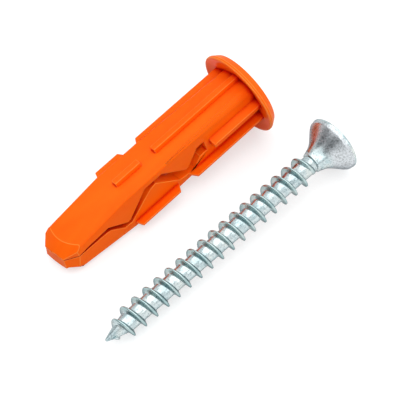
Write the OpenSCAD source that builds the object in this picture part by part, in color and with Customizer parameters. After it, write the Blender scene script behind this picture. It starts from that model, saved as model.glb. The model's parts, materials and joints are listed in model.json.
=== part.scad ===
// Moulded nylon wall plug with its countersunk wood screw, lying side by side.
// The heads point to -X and the tips to +X, and both pieces rest on the plane z = 0.
// The plug is drawn about its own axis, from the face of its collar along +X.
// The screw is drawn about its own axis, from the top of its head along +Z.

/* [Plug body] */
// Length of the plug, from the face of its collar to the end of its nose
plug_len = 34.2; // [30:0.1:45]
// Width of the square body, from side to side
body_w = 6; // [5.4:0.1:8]
// Height of the square body, from bottom to top
body_h = 6; // [5.4:0.1:8]
// Rounding of the body's long edges at the collar
edge_r = 1.1; // [0.3:0.1:1.5]
// Distance from the collar's face at which that rounding has faded
edge_fade = 16; // [10:0.5:20]
// Rounding of the long edges from there to the taper
edge_mid_r = 0.25; // [0.1:0.05:0.6]
// Rounding of the long edges at the end of the taper
edge_end_r = 0.5; // [0.1:0.05:0.8]
// Length of the stretch in front over which the jaws taper
taper_len = 10.8; // [6:0.1:12]
// Amount by which each side draws in over the taper
taper_side = 0.05; // [0:0.05:0.8]
// Amount by which the top and the bottom each draw in over the taper
taper_top = 1.25; // [0:0.05:1.4]

/* [Nose] */
// Width of the flat that ends the nose
nose_flat_w = 3.6; // [2:0.1:4.5]
// Height of the flat above the axis
nose_flat_up = 0.9; // [0.5:0.05:1.6]
// Height of the flat below the axis
nose_flat_down = 1.25; // [0.5:0.05:1.6]
// Amount by which the lower jaw's nose bulges below the slot
nose_bulge = 0.35; // [0:0.05:0.6]
// Length of the cut corners of the nose
corner_len = 1.5; // [0.8:0.1:3]
// Width of the cut corners of the nose
corner_w = 1.15; // [0.5:0.05:1.6]
// Length of the slope on the top of the nose, for the drop to the flat
slope_len = 1.7; // [0.8:0.1:3]
// Drop of the slopes on the top and the bottom over that length
slope_drop = 1.1; // [0.5:0.05:1.6]
// Radius to which the slopes are crowned at the flat
crown_r = 8; // [4:0.5:20]
// Turn of the nose's end, which leaves its left side in front
nose_turn = 6; // [0:0.5:10]

/* [Collar] */
// Diameter of the collar at its widest
collar_d = 12.9; // [11:0.1:16]
// Diameter of the collar's flat face
collar_face_d = 11.7; // [10:0.1:15]
// Height of the collar, from its face to the edge of its rim
collar_h = 1.3; // [0.9:0.1:2.5]
// Thickness of the collar where it joins the body
collar_root = 0.5; // [0.3:0.05:0.9]
// Width of the collar's rim, measured across its edge
rim_w = 0.4; // [0.3:0.05:1]
// Width of the fillet between the collar and the body
collar_fillet_w = 1.1; // [0.4:0.1:1.6]
// Height of that fillet
collar_fillet_h = 0.2; // [0.1:0.05:0.6]
// Diameter of the sunk mouth on the collar's face
mouth_d = 5.6; // [4.6:0.1:7]

/* [Bore] */
// Diameter of the straight bore in the sleeve
bore_d = 4; // [3:0.1:4.2]
// Diameter of the groove in the jaws where it ends
groove_d = 1.6; // [0.8:0.1:2.4]
// Distance from the end of the nose to the end of the groove
groove_stop = 3.8; // [2:0.1:6]

/* [Slot] */
// Length of the closed sleeve, from the collar's face to the start of the slot
sleeve_len = 9.9; // [8:0.1:12]
// Gap that the slot keeps between the closed lips of the jaws
lip_gap = 0.12; // [0.05:0.01:0.4]
// Height of the closed lips above the axis
lip_z = 0.45; // [-0.6:0.01:0.6]
// Length of the closed lips
lip_len = 2.2; // [1:0.1:4]

/* [Ribs and fins] */
// Height of the ribs on the top and the bottom
rib_h = 0.62; // [0.3:0.01:1]
// Width of those ribs at their foot
rib_foot = 1.16; // [0.8:0.02:2]
// Width of those ribs at their crest
rib_crest = 0.84; // [0.4:0.02:1.2]
// Height of the rib on each side
side_rib_h = 1.2; // [0.6:0.05:1.5]
// Width of the side rib at its foot
side_rib_foot = 1.16; // [0.8:0.02:2]
// Width of the side rib at its crest
side_rib_crest = 0.6; // [0.4:0.02:1.2]
// Height of the side ribs above the axis
side_rib_z = 0.3; // [0:0.05:0.6]
// Distance between the end of a side rib and the start of the slot
side_rib_stop = 0.8; // [0.4:0.1:3]
// Width that each fin stands out of the side
fin_w = 1.2; // [0.6:0.05:1.5]
// Thickness of the fins
fin_t = 0.33; // [0.25:0.01:0.8]
// Length of the slants where the fins are parted
fin_slant = 0.75; // [0.1:0.05:1.5]
// Length of the slants at the front ends of the fins
fin_end_slant = 0.45; // [0.1:0.05:1]
// Distance of the fin's outer face from the axis
fin_z = 2.33; // [1.5:0.01:2.6]
// Length of the gap in each jaw's rib that lets the jaw bend
hinge_gap = 2.5; // [1.5:0.1:3.5]
// Distance from the collar's face to the middle of the lower jaw's bend
low_hinge = 14.65; // [13:0.05:17]
// Distance from the collar's face to the middle of the upper jaw's bend
high_hinge = 17.05; // [13:0.05:19]
// Distance by which the upper jaw's fin is parted further on than its rib
fin_shift = 0.4; // [0:0.05:1]
// Length of the gap that parts a fin, at its foot
fin_gap = 1.7; // [0.6:0.1:3]
// Distance from the collar's face to the end of the ribs on the jaws
rib_end = 22.6; // [20:0.1:23.2]
// Distance from the collar's face to the outer end of the fins on the jaws
fin_end = 23; // [20:0.1:23.2]

/* [Screw] */
// Length of the screw, from the top of its head to its point
screw_len = 40; // [30:0.5:60]
// Diameter of the head
head_d = 7.95; // [7:0.05:9]
// Height of the upright land round the head
head_land = 0.3; // [0.1:0.05:0.6]
// Height of the cone under the land
head_cone_h = 2.8; // [2:0.1:4]
// Diameter of the shank where the cone ends
neck_d = 3.7; // [3:0.1:4.5]
// Height of the slimmer cone that leads down to the core
neck_h = 1.8; // [1:0.1:4]
// Diameter of the core between the turns of the thread
core_d = 2.45; // [2:0.05:3]
// Diameter over the thread
thread_d = 3.9; // [3.4:0.05:4.4]
// Pitch of the thread
thread_pitch = 1.864; // [1.5:0.002:2.4]
// Width of a thread turn where it meets the core
thread_foot = 0.62; // [0.4:0.02:1]
// Width of the land on the crest of the thread
thread_crest = 0.12; // [0.06:0.01:0.3]
// Distance from the top of the head to the start of the thread
thread_start = 5.3; // [4:0.1:10]
// Length of the pointed end
point_len = 3.4; // [2:0.1:6]
// Diameter of the blunted end of the point
point_d = 0.5; // [0.3:0.05:1]
// Length over which the thread runs out at the point
thread_ramp = 3; // [2:0.1:5]
// Distance from the point's end to the end of the thread
thread_stop = 1.1; // [0.6:0.1:2]
// Turn of the thread about the screw's axis, as a share of the pitch
thread_offset = 0.885; // [0:0.005:1]
// Depth of the cross recess in the head
cross_depth = 2.3; // [1.5:0.1:2.6]
// Width across the cross recess at the top of the head
cross_w = 4.3; // [3:0.1:5]
// Width across the cross recess at its bottom
cross_end_w = 2; // [1.2:0.1:2.6]
// Width of a slot of the cross recess
cross_slot = 0.9; // [0.6:0.05:1.2]
// Turn of the cross recess about the screw's axis
cross_turn = 20; // [0:1:90]

/* [Layout] */
// Distance between the screw's head and the plug's collar, along the pair
along = 2.69; // [-5:0.01:8]
// Distance between the axes of the two pieces at their heads
apart = 14.39; // [13:0.01:20]
// Angle between the two pieces, seen from above
splay = 0.66; // [-3:0.01:3]

/* [Hidden] */
// Small overlap of pieces that are fused, and overrun of cuts
eps = 0.02;
over = 1;
sink = 0.1;
round_fn = 96;
edge_fn = 32;
half_w = body_w / 2;
half_h = body_h / 2;
rim_chamfer = rim_w / 4;
// Share of the core's radius at which the neck's cone ends, inside the core
sunk_share = 0.8;
taper_start = plug_len - taper_len;
// The slot's upper edge, as distances from the sleeve's end and heights above the axis
upper_edge = [
    [0, 1.2], [1.3, 1.15], [3.5, -0.8], [4.05, -0.8], [7.3, 2.05],
    [10.3, 2.05], [13.9, -0.95], [14.4, -1.05], [17.1, 0.93], [20.4, 0.77]
];
// The slot's lower edge, measured in the same way
lower_edge = [
    [0, -0.7], [1.3, -0.7], [2.7, -1.95], [3.6, -2], [5.3, -1.7],
    [8.6, 1.4], [9.6, 1.2], [13.9, -1.6], [15.1, -1.55], [16.9, 0.12], [17.5, 0.28], [20.2, 0.36]
];

// The thread winds up from this distance, at a turn of 0, on the side that faces down
thread_steps = 24;
step_angle = 360 / thread_steps;
thread_zero = screw_len - thread_offset * thread_pitch;
first_step = ceil((thread_start - thread_zero) / thread_pitch * thread_steps);
last_step = floor((screw_len - thread_stop - thread_zero) / thread_pitch * thread_steps);
thread_n = last_step - first_step;

// Rests of the screw: the rim of its head, and the last full turn of its thread that faces down
point_start = screw_len - point_len;
rest_turn = thread_zero + thread_pitch * floor((screw_len - thread_ramp - thread_zero) / thread_pitch);
screw_tilt = atan((head_d - thread_d) / 2 / (rest_turn - head_land));
screw_rise = head_d / 2 * cos(screw_tilt) + head_land * sin(screw_tilt);

// Rests of the plug: the widest circle of its collar, and what reaches lowest in front of it.
// That is the end of the lower jaw's rib, or the start of the taper or of the slope on the nose.
collar_wide = collar_h - rim_chamfer;
taper_rate = taper_top / taper_len;
slope_back = (half_h - taper_top - nose_flat_down) / (slope_drop / slope_len - taper_rate);
function rest_slope(at, depth) = (collar_d / 2 - depth) / (at - collar_wide);
plug_tilt = atan(min(
    rest_slope(rib_end, half_h + rib_h),
    rest_slope(taper_start, half_h),
    rest_slope(plug_len - slope_back, half_h - taper_top + taper_rate * slope_back)
));
plug_rise = collar_d / 2 * cos(plug_tilt) + collar_wide * sin(plug_tilt);

// Middle of the pair on the ground, seen from the top of the screw's head
origin_x = (screw_len * cos(screw_tilt) - head_d / 2 * sin(screw_tilt)) / 2;
origin_y = (head_d / 2 - apart - collar_d / 2) / 2;

function shift(points, by) = [for (p = points) [p[0] + by, p[1]]];
function reversed(points) = [for (i = [len(points) - 1:-1:0]) points[i]];

// A slice or a stretch of the body with rounded corners
module round_slice(x, wide, tall, r, length = eps) {
    translate([x, 0, 0])
        rotate([90, 0, 90])
            linear_extrude(length) {
                for (sy = [-1, 1], sz = [-1, 1])
                    translate([sy * (wide - r), sz * (tall - r)])
                        circle(r, $fn = edge_fn);
                square([2 * wide, 2 * (tall - r)], center = true);
                square([2 * (wide - r), 2 * tall], center = true);
            }
}

// Outline of the nose seen from above, from the middle of its end flat: the flat and the cut corners
module nose_outline() {
    back = 2 * plug_len;
    wide = body_w + over;
    corner_back = corner_len * (wide - nose_flat_w / 2) / corner_w;
    polygon([
        [-back, -wide], [-corner_back, -wide], [0, -nose_flat_w / 2],
        [0, nose_flat_w / 2], [-corner_back, wide], [-back, wide]
    ]);
}

// Limit of the upper jaw's nose, above a height. The lower jaw's is the same, upside down.
module nose_limit(from_z, flat_z, bulge) {
    back = 2 * plug_len;
    steep = slope_drop / slope_len;
    translate([plug_len, 0, 0])
        rotate([0, 0, nose_turn])
            intersection() {
                hull() {
                    translate([0, 0, from_z])
                        linear_extrude(eps)
                            nose_outline();
                    translate([0, 0, flat_z])
                        linear_extrude(body_h)
                            offset(delta = bulge + eps)
                                nose_outline();
                }
                translate([0, 0, flat_z - crown_r])
                    rotate([0, 90, 0])
                        rotate_extrude($fn = round_fn)
                            polygon([
                                [0, -back], [crown_r + steep * back, -back], [crown_r, 0],
                                [crown_r, over], [0, over]
                            ]);
            }
}

module body() {
    end_share = (taper_len + over) / taper_len;
    hull() {
        round_slice(collar_root / 2, half_w, half_h, edge_r);
        round_slice(edge_fade, half_w, half_h, edge_mid_r);
    }
    round_slice(edge_fade, half_w, half_h, edge_mid_r, taper_start - edge_fade + eps);
    intersection() {
        hull() {
            round_slice(taper_start, half_w, half_h, edge_mid_r);
            round_slice(
                plug_len + over, half_w - taper_side * end_share, half_h - taper_top * end_share, edge_end_r
            );
        }
        union() {
            nose_limit(lip_z, nose_flat_up, 0);
            mirror([0, 0, 1])
                nose_limit(-lip_z, nose_flat_down, nose_bulge);
        }
    }
}

// Collar with its dished underside
module collar() {
    rotate([0, 90, 0])
        rotate_extrude($fn = round_fn)
            polygon([
                [0, 0], [collar_face_d / 2, 0], [collar_d / 2, collar_h - rim_w],
                [collar_d / 2, collar_h - rim_chamfer], [collar_d / 2 - rim_chamfer, collar_h],
                [collar_d / 2 - rim_w, collar_h], [half_w + collar_fillet_w, collar_root + collar_fillet_h],
                [half_w, collar_root], [0, collar_root]
            ]);
}

// A straight rib with sloping flanks, from one distance along the plug to another
module rib(from, to, foot, crest, base, height) {
    flank = (foot - crest) / 2 / height;
    translate([from, 0, 0])
        rotate([90, 0, 90])
            linear_extrude(to - from)
                polygon([
                    [-foot / 2 - sink * flank, base - sink], [foot / 2 + sink * flank, base - sink],
                    [crest / 2, base + height], [-crest / 2, base + height]
                ]);
}

// Rib on a jaw, in two stretches that leave the bend free
module jaw_rib(hinge) {
    rib(collar_root / 2, hinge - hinge_gap / 2, rib_foot, rib_crest, half_h, rib_h);
    rib(hinge + hinge_gap / 2, rib_end, rib_foot, rib_crest, half_h, rib_h);
}

module side_rib() {
    rib(collar_root / 2, sleeve_len - side_rib_stop, side_rib_foot, side_rib_crest, half_w, side_rib_h);
}

// Flat fin with slanted ends, on the right side and below the axis
module fin(from, to, slant_from, slant_to) {
    translate([0, 0, -fin_z])
        linear_extrude(fin_t)
            polygon([
                [from, half_w - sink], [to + slant_to, half_w - sink],
                [to, half_w + fin_w], [from + slant_from, half_w + fin_w]
            ]);
}

module jaw_fin(middle) {
    fin(collar_root / 2, middle - fin_gap / 2 - fin_slant, 0, fin_slant);
    fin(middle + fin_gap / 2, fin_end, fin_slant, fin_end_slant);
}

// Zigzag slot that parts the jaws
module slot() {
    lips = plug_len - lip_len;
    translate([0, body_w, 0])
        rotate([90, 0, 0])
            linear_extrude(2 * body_w)
                polygon(concat(
                    shift(upper_edge, sleeve_len),
                    [[lips, lip_z + lip_gap / 2], [plug_len + over, lip_z + lip_gap / 2]],
                    [[plug_len + over, lip_z - lip_gap / 2], [lips, lip_z - lip_gap / 2]],
                    reversed(shift(lower_edge, sleeve_len))
                ));
}

// Bore with its sunk mouth, which goes on as a tapering groove in the jaws
module bore() {
    mouth_depth = (mouth_d - bore_d) / 2;
    rotate([0, 90, 0]) {
        translate([0, 0, -over])
            cylinder(h = sleeve_len + over, d = bore_d, $fn = round_fn);
        translate([0, 0, -eps])
            cylinder(h = mouth_depth + eps, d1 = mouth_d + 2 * eps, d2 = bore_d, $fn = round_fn);
        translate([0, 0, sleeve_len - eps])
            cylinder(h = plug_len - groove_stop - sleeve_len + eps, d1 = bore_d, d2 = groove_d, $fn = round_fn);
    }
}

module plug_shape() {
    difference() {
        union() {
            body();
            collar();
            jaw_rib(high_hinge);
            rotate([180, 0, 0])
                jaw_rib(low_hinge);
            for (side = [-1, 1])
                translate([0, 0, side_rib_z])
                    rotate([90 * side, 0, 0])
                        side_rib();
            jaw_fin(low_hinge);
            rotate([180, 0, 0])
                jaw_fin(high_hinge + fin_shift);
        }
        slot();
        bore();
    }
}

// Plug as it lies
module wall_plug() {
    color([0.98, 0.4, 0.1])
        translate([along - origin_x, -apart - origin_y, plug_rise])
            rotate([0, plug_tilt, -splay])
                plug_shape();
}

// Head of the screw with its neck, whose cone runs on into the core
module head() {
    cone_end = head_land + head_cone_h;
    sunk_r = core_d / 2 * sunk_share;
    sunk_h = neck_h * (neck_d / 2 - sunk_r) / (neck_d / 2 - core_d / 2);
    rotate_extrude($fn = round_fn)
        polygon([
            [0, 0], [head_d / 2, 0], [head_d / 2, head_land], [neck_d / 2, cone_end],
            [sunk_r, cone_end + sunk_h], [0, cone_end + sunk_h]
        ]);
}

// Cross recess: two crossed wedges with drafted ends
module cross_recess() {
    for (turn = [0, 90])
        rotate([90, 0, turn + cross_turn])
            translate([0, 0, -cross_slot / 2])
                linear_extrude(cross_slot)
                    polygon([
                        [-cross_w / 2, -over], [cross_w / 2, -over], [cross_w / 2, 0],
                        [cross_end_w / 2, cross_depth], [-cross_end_w / 2, cross_depth], [-cross_w / 2, 0]
                    ]);
}

// Radius of the core, and of the thread's crest, at a distance from the top of the head
function core_r(z) = core_d / 2 - (core_d - point_d) / 2 * max(0, (z - point_start) / point_len);
function crest_r(z) =
    let (fade_in = (z - thread_start) / thread_pitch)
    let (fade_out = (screw_len - z) / thread_ramp)
    core_r(z) + (thread_d - core_d) / 2 * max(eps, min(1, fade_in, fade_out));

// The threaded shank is one skin that winds along the helix. Each step of it has four corners:
// the foot, the two edges of the crest, and the other foot. The next turn's foot closes it.
function shank_corner(step, corner) =
    let (z = thread_zero + thread_pitch * (first_step + step) / thread_steps)
    let (turn = step_angle * (first_step + step))
    let (rise = [-thread_foot / 2, -thread_crest / 2, thread_crest / 2, thread_foot / 2][corner])
    let (r = corner == 1 || corner == 2 ? crest_r(z) : core_r(z + rise))
    [r * cos(turn), r * sin(turn), z + rise];

function shank_ring(step, z, r) = [
    for (k = [0:thread_steps - 1])
        let (turn = step_angle * (first_step + step + k))
        [r * cos(turn), r * sin(turn), z]
];

module threaded_shank() {
    corners = 4;
    n = thread_n;
    turn = thread_steps;
    top_z = thread_start - thread_pitch;
    end_z = screw_len - point_d / 2;
    skin = [for (i = [0:n], k = [0:corners - 1]) shank_corner(i, k)];
    top = len(skin);
    end = top + turn;
    points = concat(
        skin,
        shank_ring(0, top_z, core_d / 2),
        shank_ring(n - turn, end_z, point_d / 2),
        [[0, 0, top_z], [0, 0, screw_len]]
    );
    top_centre = end + turn;
    end_centre = top_centre + 1;
    ridge = [
        for (i = [0:n - 1], k = [0:corners - 2])
            let (a = i * corners + k)
            each [[a, a + corners + 1, a + corners], [a, a + 1, a + corners + 1]]
    ];
    root = [
        for (i = [0:n - turn - 1])
            let (a = i * corners + corners - 1, b = (i + turn) * corners)
            each [[a, b + corners, a + corners], [a, b, b + corners]]
    ];
    lead_in = [
        for (i = [0:turn - 2])
            let (a = i * corners)
            each [[top + i, a + corners, top + i + 1], [top + i, a, a + corners]]
    ];
    last_foot = (turn - 1) * corners;
    next_foot = turn * corners;
    last_top = top + turn - 1;
    lead_in_close = [
        [last_top, 0, top], [last_top, corners - 1, 0],
        [last_top, next_foot, corners - 1], [last_top, last_foot, next_foot]
    ];
    foot = (n - turn) * corners + corners - 1;
    run_out = [
        for (i = [1:turn - 1])
            let (a = foot + i * corners, b = end + (i + 1) % turn)
            each [[a, b, a + corners], [a, end + i, b]]
    ];
    tail = n * corners;
    run_out_close = [
        [foot, end + 1, foot + corners], [foot, tail, end + 1],
        [tail, tail + corners - 1, end + 1], [tail + corners - 1, end, end + 1]
    ];
    top_cap = [for (k = [0:turn - 1]) [top_centre, top + k, top + (k + 1) % turn]];
    end_cap = [for (k = [0:turn - 1]) [end_centre, end + (k + 1) % turn, end + k]];
    ridge_ends = [[3, 2, 1, 0], [tail, tail + 1, tail + 2, tail + 3]];
    polyhedron(points, concat(
        ridge, root, lead_in, lead_in_close, run_out, run_out_close, top_cap, end_cap, ridge_ends
    ));
}

module screw_shape() {
    difference() {
        union() {
            head();
            threaded_shank();
        }
        cross_recess();
    }
}

// Screw as it lies
module screw() {
    color([0.78, 0.82, 0.84])
        translate([-origin_x, -origin_y, screw_rise])
            rotate([0, 90 + screw_tilt, 0])
                screw_shape();
}

wall_plug();
screw();
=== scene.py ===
import json
import math

import bmesh
import bpy
from mathutils import Matrix, Vector


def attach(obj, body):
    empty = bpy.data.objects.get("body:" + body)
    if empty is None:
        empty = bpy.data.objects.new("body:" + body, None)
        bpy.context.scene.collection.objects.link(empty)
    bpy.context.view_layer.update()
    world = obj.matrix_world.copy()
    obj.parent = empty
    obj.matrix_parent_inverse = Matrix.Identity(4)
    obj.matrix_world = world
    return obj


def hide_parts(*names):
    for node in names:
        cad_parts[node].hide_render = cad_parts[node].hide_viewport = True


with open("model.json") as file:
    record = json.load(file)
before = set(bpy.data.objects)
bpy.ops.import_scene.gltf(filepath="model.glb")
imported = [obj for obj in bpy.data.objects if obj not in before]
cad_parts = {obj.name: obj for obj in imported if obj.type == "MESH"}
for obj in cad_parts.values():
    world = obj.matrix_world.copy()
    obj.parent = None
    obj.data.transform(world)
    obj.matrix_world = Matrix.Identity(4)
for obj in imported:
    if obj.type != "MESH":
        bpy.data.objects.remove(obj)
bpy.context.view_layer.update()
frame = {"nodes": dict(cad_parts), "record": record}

MM = 0.001
MOUNTS = {m["name"]: m for m in frame["record"]["mounts"]}


# Camera of the photograph, by its heading, its look-down angle and its roll
CAMERA_HEADING = math.radians(-120.545)
CAMERA_DOWN = math.radians(50.955)
CAMERA_ROLL = math.radians(-13.665)
CAMERA_AIM = Vector((-3.005, -0.573, 0.0)) * MM
CAMERA_DISTANCE = 154.336 * MM
FOCAL_PIXELS = 1150
PHOTO_PIXELS = 400
SENSOR_MM = 36


def add_camera():
    forward = Vector((
        math.cos(CAMERA_HEADING) * math.cos(CAMERA_DOWN),
        math.sin(CAMERA_HEADING) * math.cos(CAMERA_DOWN),
        -math.sin(CAMERA_DOWN),
    ))
    level = Vector((math.sin(CAMERA_HEADING), -math.cos(CAMERA_HEADING), 0))
    upright = level.cross(forward)
    right = level * math.cos(CAMERA_ROLL) + upright * math.sin(CAMERA_ROLL)
    up = upright * math.cos(CAMERA_ROLL) - level * math.sin(CAMERA_ROLL)
    data = bpy.data.cameras.new("camera")
    data.sensor_width = SENSOR_MM
    data.lens = FOCAL_PIXELS / PHOTO_PIXELS * SENSOR_MM
    data.clip_start = MM
    data.clip_end = 10
    camera = bpy.data.objects.new("camera", data)
    turn = Matrix((right, up, -forward)).transposed().to_4x4()
    camera.matrix_world = Matrix.Translation(CAMERA_AIM - forward * CAMERA_DISTANCE) @ turn
    bpy.context.scene.collection.objects.link(camera)
    bpy.context.scene.camera = camera


def add_node(tree, kind, inputs, settings):
    """A new node of a tree, with its settings, and with each input joined or given its value."""
    node = tree.nodes.new(kind)
    for key, value in settings.items():
        setattr(node, key, value)
    for key, value in (inputs or {}).items():
        if isinstance(value, bpy.types.NodeSocket):
            tree.links.new(value, node.inputs[key])
        else:
            node.inputs[key].default_value = value
    return node


class Nodes:
    """A material's node tree, with short calls to add and join its nodes."""

    def __init__(self, name):
        self.material = bpy.data.materials.new(name)
        self.material.use_nodes = True
        self.tree = self.material.node_tree
        self.tree.nodes.clear()

    def add(self, kind, inputs=None, **settings):
        return add_node(self.tree, kind, inputs, settings)

    def ramp(self, factor, stops):
        node = self.add("ShaderNodeValToRGB", {"Fac": factor})
        while len(node.color_ramp.elements) < len(stops):
            node.color_ramp.elements.new(0.5)
        for element, (place, color) in zip(node.color_ramp.elements, stops):
            element.position = place
            element.color = (*color, 1)
        return node.outputs["Color"]

    def noise(self, place, scale, detail=3.0, roughness=0.5, distortion=0.0):
        node = self.add("ShaderNodeTexNoise", {
            "Vector": place, "Scale": scale,
            "Detail": detail, "Roughness": roughness, "Distortion": distortion,
        })
        return node.outputs["Fac"]

    def stretch(self, place, scale):
        return self.add("ShaderNodeMapping", {"Vector": place, "Scale": scale}).outputs["Vector"]

    def mix(self, blend, factor, one, two):
        node = self.tree.nodes.new("ShaderNodeMix")
        node.data_type = "RGBA"
        node.blend_type = blend
        factor_in = next(i for i in node.inputs if i.identifier == "Factor_Float")
        if isinstance(factor, bpy.types.NodeSocket):
            self.tree.links.new(factor, factor_in)
        else:
            factor_in.default_value = factor
        for end, value in (("A_Color", one), ("B_Color", two)):
            self.tree.links.new(value, next(i for i in node.inputs if i.identifier == end))
        return next(o for o in node.outputs if o.identifier == "Result_Color")

    def remap(self, value, low, high):
        node = self.add("ShaderNodeMapRange", {"Value": value, "To Min": low, "To Max": high})
        return node.outputs["Result"]

    def between(self, value, start, end):
        """0 up to the start, rising to 1 at the end."""
        node = self.add("ShaderNodeMapRange", {"Value": value, "From Min": start, "From Max": end})
        return node.outputs["Result"]

    def combine(self, operation, one, two):
        return self.add("ShaderNodeMath", {0: one, 1: two}, operation=operation).outputs[0]

    def openness(self, distance):
        """1 in the open, and less the more of the piece's own surface lies within this distance."""
        node = self.add("ShaderNodeAmbientOcclusion", {"Distance": distance}, samples=8, only_local=True)
        return node.outputs["AO"]

    def bump(self, height, strength, distance, below=None):
        settings = {"Height": height, "Strength": strength, "Distance": distance}
        if below is not None:
            settings["Normal"] = below
        return self.add("ShaderNodeBump", settings).outputs["Normal"]

    def output(self, shader):
        self.add("ShaderNodeOutputMaterial", {"Surface": shader})
        return self.material


# Colours of the nylon along its flow marks: on its faces, and a paler orange on its outward edges, painted
# as an edge highlight
ORANGE = [(0.3, (0.97, 0.114, 0.001)), (0.55, (1.0, 0.128, 0.002)), (0.8, (1.0, 0.142, 0.003))]
ORANGE_EDGE_HIGHLIGHT = [(0.3, (0.98, 0.21, 0.025)), (0.55, (1.0, 0.24, 0.035)), (0.8, (1.0, 0.27, 0.045))]
# Painted shade: what the colour is multiplied by, darker and redder deep in recesses, and nothing in the
# open
NYLON_HOLLOW_SHADE = [(0.22, (0.30, 0.01, 0.2)), (0.52, (0.76, 0.12, 0.3)), (0.78, (1.0, 1.0, 1.0))]
NYLON_HOLLOW_SIZE = 1.1 * MM


def nylon(name, stops):
    """Moulded nylon: satin, a little milky, with painted shade that darkens and reddens its recesses, with
    flow marks and a fine texture.
    """
    n = Nodes(name)
    place = n.add("ShaderNodeTexCoord").outputs["Object"]
    flow = n.noise(n.stretch(place, (60, 260, 260)), 1.0, detail=2, distortion=0.8)
    grain = n.noise(place, 5200, detail=3, roughness=0.6)
    waves = n.noise(n.stretch(place, (140, 420, 420)), 1.0, detail=3)
    # Painted shade: the colour darkens and reddens where the piece's own surface is near
    hollow_shade = n.ramp(n.openness(NYLON_HOLLOW_SIZE), NYLON_HOLLOW_SHADE)
    color = n.mix("MULTIPLY", 1.0, n.ramp(flow, stops), hollow_shade)
    rough = n.remap(waves, 0.34, 0.46)
    fine = n.bump(grain, 0.10, 0.04 * MM)
    normal = n.bump(waves, 0.10, 0.4 * MM, fine)
    shader = n.add("ShaderNodeBsdfPrincipled", {
        "Base Color": color, "Roughness": rough, "Normal": normal, "IOR": 1.5, "Specular IOR Level": 0.07,
        "Subsurface Weight": 0.20, "Subsurface Radius": (1.0, 0.12, 0.02), "Subsurface Scale": 1.0 * MM,
    })
    return n.output(shader.outputs["BSDF"])


def screw_place():
    """The screw's own frame: origin at the middle of its head's top, +Z to the tip, -X up."""
    head = MOUNTS["drive_recess"]
    along = -Vector(head["axis"])
    side = Vector((0, 1, 0))
    turn = Matrix((side.cross(along), side, along)).transposed().to_4x4()
    return Matrix.Translation(Vector(head["pos_m"])) @ turn @ Matrix.Scale(MM, 4)


# Zones of the zinc, in the screw's own millimetres: each fades in between its two values
BLADE_FROM_TOP = (4.5, 4.9)
BLADE_RADIUS = (1.28, 1.62)
CONE_RADIUS = (1.9, 2.5)
CONE_FROM_TOP = (0.28, 0.42)
# Colours of the zinc: roots and neck by clouds, with spots over them, then cone; blades darker and tealer, a
# painted reflection of dull surroundings; and painted shade in crevices
ZINC_ROOT = [(0.30, (0.46, 0.58, 0.60)), (0.50, (0.62, 0.70, 0.71)), (0.72, (0.74, 0.77, 0.74))]
ZINC_SPOTS = [(0.36, (0.60, 0.62, 0.64)), (0.48, (0.94, 0.96, 0.96)), (0.62, (1.0, 1.0, 1.0))]
ZINC_CONE = [(0.36, (0.38, 0.40, 0.41)), (0.50, (0.58, 0.61, 0.63)), (0.64, (0.74, 0.77, 0.80))]
ZINC_BLADE_REFLECTION = [(0.35, (0.36, 0.50, 0.51)), (0.65, (0.52, 0.62, 0.61))]
ZINC_HOLLOW_SHADE = [(0.25, (0.40, 0.38, 0.38)), (0.62, (1.0, 1.0, 1.0))]
ZINC_HOLLOW_SIZE = 0.5 * MM
ZINC_AT_GRAZING = (0.36, 0.38, 0.40, 1)


def zinc():
    """Bright zinc over rolled steel: pale roots, a speckled cone under the head, blades painted duller and
    tealer as a reflection of dull surroundings, and painted shade in the crevices.
    """
    n = Nodes("zinc_plating")
    place = n.add("ShaderNodeTexCoord").outputs["Object"]
    move, spin, size = screw_place().inverted().decompose()
    own = n.add("ShaderNodeMapping", {
        "Vector": place, "Location": move, "Rotation": spin.to_euler(), "Scale": size,
    }).outputs["Vector"]
    axes = n.add("ShaderNodeSeparateXYZ", {"Vector": own})
    from_top = axes.outputs["Z"]
    flat = n.add("ShaderNodeCombineXYZ", {"X": axes.outputs["X"], "Y": axes.outputs["Y"]})
    length = n.add("ShaderNodeVectorMath", {0: flat.outputs["Vector"]}, operation="LENGTH")
    radius = length.outputs["Value"]
    blade = n.combine("MULTIPLY", n.between(from_top, *BLADE_FROM_TOP), n.between(radius, *BLADE_RADIUS))
    cone = n.combine("MULTIPLY", n.between(radius, *CONE_RADIUS), n.between(from_top, *CONE_FROM_TOP))
    cloud = n.noise(place, 520, detail=3, roughness=0.6, distortion=0.6)
    speckle = n.noise(place, 4200, detail=3, roughness=0.7)
    shaft = n.mix("MULTIPLY", 1.0, n.ramp(cloud, ZINC_ROOT), n.ramp(speckle, ZINC_SPOTS))
    body = n.mix("MIX", cone, shaft, n.ramp(speckle, ZINC_CONE))
    # The blades take a duller teal: a painted reflection of dull surroundings
    bare = n.mix("MIX", blade, body, n.ramp(cloud, ZINC_BLADE_REFLECTION))
    # Painted shade: the colour darkens where the screw's own surface is near
    color = n.mix("MULTIPLY", 1.0, bare, n.ramp(n.openness(ZINC_HOLLOW_SIZE), ZINC_HOLLOW_SHADE))
    rough = n.combine("ADD", n.remap(speckle, 0.14, 0.36), n.combine("MULTIPLY", cone, 0.06))
    shader = n.add("ShaderNodeBsdfPrincipled", {
        "Base Color": color, "Metallic": 1.0, "Roughness": rough, "Normal": n.bump(speckle, 0.35, 0.03 * MM),
        "Specular Tint": ZINC_AT_GRAZING,
    })
    return n.output(shader.outputs["BSDF"])


# The plug keeps its CAD mesh. Modifiers cut back its outward edges, as wear and the mould do; the cut faces
# take a paler orange, a painted highlight.
EDGE_ROUND = 0.06 * MM
WELD_WITHIN = 0.02 * MM
FLAT_WITHIN = math.radians(1)
OUTWARD_OVER = math.radians(22)
SHADING_SPLIT = math.radians(14)


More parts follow.
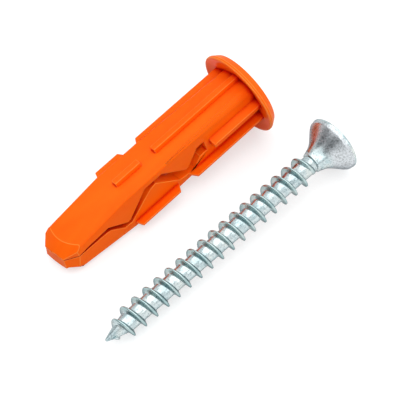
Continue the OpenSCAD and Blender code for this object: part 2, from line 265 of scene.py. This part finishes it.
def edge_group(name, angle_kind, angle_over):
    """A geometry node group, with its two ends and a test for edges sharper than an angle."""
    group = bpy.data.node_groups.new(name, "GeometryNodeTree")
    group.interface.new_socket("Geometry", in_out="INPUT", socket_type="NodeSocketGeometry")
    group.interface.new_socket("Geometry", in_out="OUTPUT", socket_type="NodeSocketGeometry")
    start = group.nodes.new("NodeGroupInput")
    end = group.nodes.new("NodeGroupOutput")
    angle = group.nodes.new("GeometryNodeInputMeshEdgeAngle")
    sharp = group.nodes.new("FunctionNodeCompare")
    sharp.operation = "GREATER_THAN"
    sharp.inputs[1].default_value = angle_over
    group.links.new(angle.outputs[angle_kind], sharp.inputs[0])
    return group, start.outputs[0], end.inputs[0], sharp.outputs[0]


def outward_edges():
    """Gives each sharp outward edge a bevel weight, so that inner corners stay crisp."""
    group, start, end, sharp = edge_group("outward_edges", "Signed Angle", OUTWARD_OVER)
    store = group.nodes.new("GeometryNodeStoreNamedAttribute")
    store.data_type = "FLOAT"
    store.domain = "EDGE"
    store.inputs["Name"].default_value = "bevel_weight_edge"
    group.links.new(start, store.inputs["Geometry"])
    group.links.new(sharp, store.inputs["Value"])
    group.links.new(store.outputs[0], end)
    return group


def even_shading():
    """Smooth shading within a curved face, and none across an edge."""
    group, start, end, sharp = edge_group("even_shading", "Unsigned Angle", SHADING_SPLIT)
    bare = group.nodes.new("GeometryNodeRemoveAttribute")
    bare.inputs["Name"].default_value = "custom_normal"
    smooth = group.nodes.new("GeometryNodeSetShadeSmooth")
    split = group.nodes.new("GeometryNodeSetShadeSmooth")
    split.domain = "EDGE"
    split.inputs["Shade Smooth"].default_value = False
    group.links.new(start, bare.inputs["Geometry"])
    group.links.new(bare.outputs[0], smooth.inputs["Geometry"])
    group.links.new(smooth.outputs[0], split.inputs["Geometry"])
    group.links.new(sharp, split.inputs["Selection"])
    group.links.new(split.outputs[0], end)
    return group


def finish_plug():
    plug = frame["nodes"]["wall_plug"]
    plug.data.materials.clear()
    # The second material, for the bevel faces, is a paler orange painted as an edge highlight
    for name, stops in (("orange_nylon", ORANGE), ("orange_nylon_edge_highlight", ORANGE_EDGE_HIGHLIGHT)):
        plug.data.materials.append(nylon(name, stops))
    weld = plug.modifiers.new("weld", "WELD")
    weld.merge_threshold = WELD_WITHIN
    flat = plug.modifiers.new("flat", "DECIMATE")
    flat.decimate_type = "DISSOLVE"
    flat.angle_limit = FLAT_WITHIN
    plug.modifiers.new("outward", "NODES").node_group = outward_edges()
    bevel = plug.modifiers.new("bevel", "BEVEL")
    bevel.width = EDGE_ROUND
    bevel.segments = 2
    bevel.limit_method = "WEIGHT"
    # The bevel faces take the second material: a paler orange, painted highlight along the edges
    bevel.material = 1
    bevel.use_clamp_overlap = False
    plug.modifiers.new("shading", "NODES").node_group = even_shading()


# Screw: sizes in millimetres, as the CAD model has them
SCREW_LENGTH = 40
HEAD_R = 3.975
HEAD_LAND = 0.3
CONE_END = 3.1
NECK_R = 1.85
CORE_START = 4.5
CORE_R = 1.225
THREAD_R = 1.95
PITCH = 1.864
THREAD_ZERO = SCREW_LENGTH - 0.885 * PITCH
THREAD_START = 4.96
# The thread rises to its height over this length
THREAD_RISE = PITCH / 1.8
# The thread falls to the core over this length, and ends this far from the point's end
THREAD_RAMP = 3
THREAD_STOP = 1.1
LEAST_HEIGHT = 0.02
POINT_LENGTH = 3.4
POINT_R = 0.25
# Steps in one turn of the skin
STEPS = 72
# Profile of one thread turn: distance from the crest, and share of the thread's height
RIDGE = [
    (-0.44, 0.0), (-0.37, 0.03), (-0.32, 0.12), (-0.26, 0.36), (-0.18, 0.74), (-0.11, 0.95), (-0.05, 1.0),
    (0.05, 1.0), (0.11, 0.95), (0.18, 0.74), (0.26, 0.36), (0.32, 0.12), (0.37, 0.03), (0.44, 0.0),
]
# Outline of the head and the neck: distance from the top, and radius
HEAD_PROFILE = [
    (0, HEAD_R - 0.12), (0.02, HEAD_R - 0.05), (0.07, HEAD_R), (HEAD_LAND - 0.06, HEAD_R),
    (HEAD_LAND, HEAD_R - 0.02), (HEAD_LAND + 0.06, HEAD_R - 0.04), (HEAD_LAND + 0.34, HEAD_R - 0.06),
    (HEAD_LAND + 0.40, HEAD_R - 0.075), (HEAD_LAND + 0.46, HEAD_R - 0.105),
    (HEAD_LAND + 0.52, HEAD_R - 0.145), (HEAD_LAND + 0.9, HEAD_R - 0.43), (HEAD_LAND + 1.5, HEAD_R - 0.99),
    (CONE_END - 0.6, NECK_R + 0.50), (CONE_END - 0.15, NECK_R + 0.16), (CONE_END + 0.3, NECK_R - 0.07),
    (CONE_END + 0.7, NECK_R - 0.20), (CORE_START - 0.38, CORE_R + 0.29), (CORE_START - 0.30, CORE_R + 0.30),
    (CORE_START - 0.12, CORE_R + 0.26), (CORE_START - 0.04, CORE_R + 0.10), (CORE_START, CORE_R),
]
# Faces of the screw that meet at more than this keep a sharp edge
SCREW_SHARP = math.radians(40)


def core_radius(z):
    gone = max(0.0, (z - SCREW_LENGTH + POINT_LENGTH) / POINT_LENGTH)
    return CORE_R - (CORE_R - POINT_R) * gone


def ridge_height(z):
    start = (z - THREAD_START) / THREAD_RISE
    end = (SCREW_LENGTH - z) / THREAD_RAMP
    return (THREAD_R - CORE_R) * max(LEAST_HEIGHT, min(1.0, start, end))


def screw_mesh():
    """One closed skin: head, neck, helical thread and point, about +Z from the top of the head."""
    first = math.ceil((THREAD_START - THREAD_ZERO) / PITCH * STEPS)
    last = math.floor((SCREW_LENGTH - THREAD_STOP - THREAD_ZERO) / PITCH * STEPS)
    count = last - first
    mesh = bmesh.new()

    def at(z, r, step):
        turn = 2 * math.pi * step / STEPS
        return mesh.verts.new((r * math.cos(turn), r * math.sin(turn), z))

    def ring(z, r, start=0):
        return [at(z, r, first + start + k) for k in range(STEPS)]

    def band(low, high):
        for k in range(STEPS):
            j = (k + 1) % STEPS
            mesh.faces.new((low[k], low[j], high[j], high[k]))

    # Head and neck, ring by ring from the middle of the top
    rings = [ring(z, r) for z, r in HEAD_PROFILE]
    middle = mesh.verts.new((0, 0, 0))
    for k in range(STEPS):
        mesh.faces.new((middle, rings[0][(k + 1) % STEPS], rings[0][k]))
    for low, high in zip(rings, rings[1:]):
        band(high, low)

    # The thread: each step holds the profile's points, and the next turn's first point closes the root
    skin = []
    for i in range(count + 1):
        z = THREAD_ZERO + PITCH * (first + i) / STEPS
        tall = ridge_height(z)
        skin.append([at(z + s, core_radius(z + s) + tall * share, first + i) for s, share in RIDGE])
    for a, b in zip(skin, skin[1:]):
        for k in range(len(RIDGE) - 1):
            mesh.faces.new((a[k], b[k], b[k + 1], a[k + 1]))
    for i in range(count - STEPS):
        mesh.faces.new((skin[i][-1], skin[i + 1][-1], skin[i + STEPS + 1][0], skin[i + STEPS][0]))

    # Lead-in from the neck's last ring, and run-out to the point
    top = rings[-1]
    for k in range(STEPS - 1):
        mesh.faces.new((top[k], top[k + 1], skin[k + 1][0], skin[k][0]))
    start_wall = [skin[0][0], skin[0][-1], skin[STEPS][0]]
    mesh.faces.new([top[STEPS - 1], top[0], *start_wall, skin[STEPS - 1][0]])
    mesh.faces.new(list(reversed(skin[0])))
    end = ring(SCREW_LENGTH - POINT_R, POINT_R, count - STEPS)
    foot = [row[-1] for row in skin[count - STEPS:]]
    for k in range(1, STEPS):
        mesh.faces.new((foot[k], foot[k + 1], end[(k + 1) % STEPS], end[k]))
    mesh.faces.new([foot[0], foot[1], end[1], end[0], skin[count][-1], skin[count][0]])
    mesh.faces.new(skin[count])
    blunt = ring(SCREW_LENGTH - POINT_R * 0.3, POINT_R * 0.7, count - STEPS)
    band(end, blunt)
    tip = mesh.verts.new((0, 0, SCREW_LENGTH))
    for k in range(STEPS):
        mesh.faces.new((tip, blunt[k], blunt[(k + 1) % STEPS]))
    bmesh.ops.recalc_face_normals(mesh, faces=mesh.faces)
    return mesh


# Cross recess of the head: depth, half-lengths at its mouth and its end, width and turn
CROSS_DEPTH = 2.3
CROSS_R = 2.15
CROSS_END_R = 1.0
CROSS_SLOT = 0.9
CROSS_TURN = math.radians(20)
# The cutter stands this far out of the head
CUTTER_RISE = 1


def cross_cutter():
    mesh = bmesh.new()
    outline = [
        (-CROSS_R, -CUTTER_RISE), (CROSS_R, -CUTTER_RISE), (CROSS_R, 0),
        (CROSS_END_R, CROSS_DEPTH), (-CROSS_END_R, CROSS_DEPTH), (-CROSS_R, 0),
    ]
    for turn in (CROSS_TURN, CROSS_TURN + math.pi / 2):
        spin = Matrix.Rotation(turn, 4, "Z")
        sides = []
        for y in (-CROSS_SLOT / 2, CROSS_SLOT / 2):
            sides.append([mesh.verts.new(spin @ Vector((x, y, z))) for x, z in outline])
        mesh.faces.new(sides[0])
        mesh.faces.new(list(reversed(sides[1])))
        for k in range(len(outline)):
            j = (k + 1) % len(outline)
            mesh.faces.new((sides[0][j], sides[0][k], sides[1][k], sides[1][j]))
    bmesh.ops.recalc_face_normals(mesh, faces=mesh.faces)
    return mesh


def to_object(mesh, name):
    data = bpy.data.meshes.new(name)
    mesh.to_mesh(data)
    mesh.free()
    thing = bpy.data.objects.new(name, data)
    bpy.context.scene.collection.objects.link(thing)
    return thing


def add_screw():
    """The screw with its full thread, laid where the CAD screw lies."""
    screw = to_object(screw_mesh(), "screw_detailed")
    cutter = to_object(cross_cutter(), "cross_cutter")
    cut = screw.modifiers.new("cross", "BOOLEAN")
    cut.object = cutter
    cut.operation = "DIFFERENCE"
    cut.solver = "EXACT"
    cut.use_self = True
    shape = bpy.data.meshes.new_from_object(screw.evaluated_get(bpy.context.evaluated_depsgraph_get()))
    screw.modifiers.clear()
    bpy.data.objects.remove(cutter)
    shape.transform(screw_place())
    screw.data = shape
    shape.materials.clear()
    shape.materials.append(zinc())
    shape.shade_smooth()
    shape.set_sharp_from_angle(angle=SCREW_SHARP)
    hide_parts("screw")
    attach(screw, "root")


# Studio: pale floor, its side in metres, soft lamps and a soft world
FLOOR_SIZE = 4
FLOOR_DROP = 0.02 * MM
FLOOR_COLOR = (0.52, 0.52, 0.52, 1)
# Light that the camera, mirrors and glass see on the floor, on top of the lamps'
FLOOR_LIFT = 0.55


def floor_material():
    n = Nodes("pale_floor")
    path = n.add("ShaderNodeLightPath").outputs
    mirrored = n.combine("MAXIMUM", path["Is Glossy Ray"], path["Is Transmission Ray"])
    seen = n.combine("MAXIMUM", path["Is Camera Ray"], mirrored)
    lift = n.combine("MULTIPLY", seen, FLOOR_LIFT)
    glow = n.add("ShaderNodeEmission", {"Color": (1, 1, 1, 1), "Strength": lift})
    paper = n.add("ShaderNodeBsdfDiffuse", {"Color": FLOOR_COLOR})
    both = n.add("ShaderNodeAddShader", {0: glow.outputs[0], 1: paper.outputs[0]})
    return n.output(both.outputs[0])


def add_floor():
    bpy.ops.mesh.primitive_plane_add(size=FLOOR_SIZE, location=(0, 0, -FLOOR_DROP))
    floor = bpy.context.active_object
    floor.name = "floor"
    floor.data.materials.append(floor_material())


# Lamps: place and size in metres, and power in watts
LAMPS = {
    "key": {"place": (0.08, 0.04, 0.38), "size": (0.60, 0.60), "power": 1.25},
    "fill": {"place": (0.08, 0.34, 0.18), "size": (0.28, 0.16), "power": 0.16},
}


def add_lamp(name, place, size, power):
    """A rectangular lamp that faces the middle of the part."""
    data = bpy.data.lights.new(name, "AREA")
    data.shape = "RECTANGLE"
    data.size, data.size_y = size
    data.energy = power
    lamp = bpy.data.objects.new(name, data)
    lamp.location = place
    lamp.rotation_mode = "QUATERNION"
    lamp.rotation_quaternion = (-Vector(place)).to_track_quat("-Z", "Y")
    bpy.context.scene.collection.objects.link(lamp)


# Direction of the dull part of the room, which the head's cone mirrors, and how it fades in
DULL_WAY = Vector((0.795, -0.090, 0.600))
DULL_FADE = (0.74, 0.90)
BRIGHT_SKY = (0.76, 0.78, 0.79, 1)
DULL_SKY = (0.08, 0.09, 0.10, 1)
# The room is brighter toward -X
BRIGHT_FADE = (-0.10, -0.28)
BRIGHT_SIDE = 1.3


def add_world():
    """A soft bright room with one dull part and one brighter side."""
    world = bpy.data.worlds.new("studio")
    bpy.context.scene.world = world
    world.use_nodes = True
    world.node_tree.nodes.clear()

    def node(kind, inputs=None, **settings):
        return add_node(world.node_tree, kind, inputs, settings)

    def fade(value, ends, start, end):
        inputs = {"Value": value, "From Min": ends[0], "From Max": ends[1], "To Min": start, "To Max": end}
        return node("ShaderNodeMapRange", inputs, interpolation_type="SMOOTHSTEP").outputs["Result"]

    way = node("ShaderNodeTexCoord").outputs["Generated"]
    toward = node("ShaderNodeVectorMath", {0: way, 1: DULL_WAY}, operation="DOT_PRODUCT")
    ramp = node("ShaderNodeValToRGB", {"Fac": fade(toward.outputs["Value"], DULL_FADE, 0, 1)})
    ramp.color_ramp.elements[0].color = BRIGHT_SKY
    ramp.color_ramp.elements[1].color = DULL_SKY
    axes = node("ShaderNodeSeparateXYZ", {0: way})
    strength = fade(axes.outputs["X"], BRIGHT_FADE, 1.0, BRIGHT_SIDE)
    glow = node("ShaderNodeBackground", {"Color": ramp.outputs["Color"], "Strength": strength})
    node("ShaderNodeOutputWorld", {"Surface": glow.outputs[0]})


def add_studio():
    add_world()
    add_floor()
    for name, facts in LAMPS.items():
        add_lamp(name, **facts)
    bpy.context.scene.view_settings.view_transform = "Standard"


add_camera()
finish_plug()
add_screw()
add_studio()
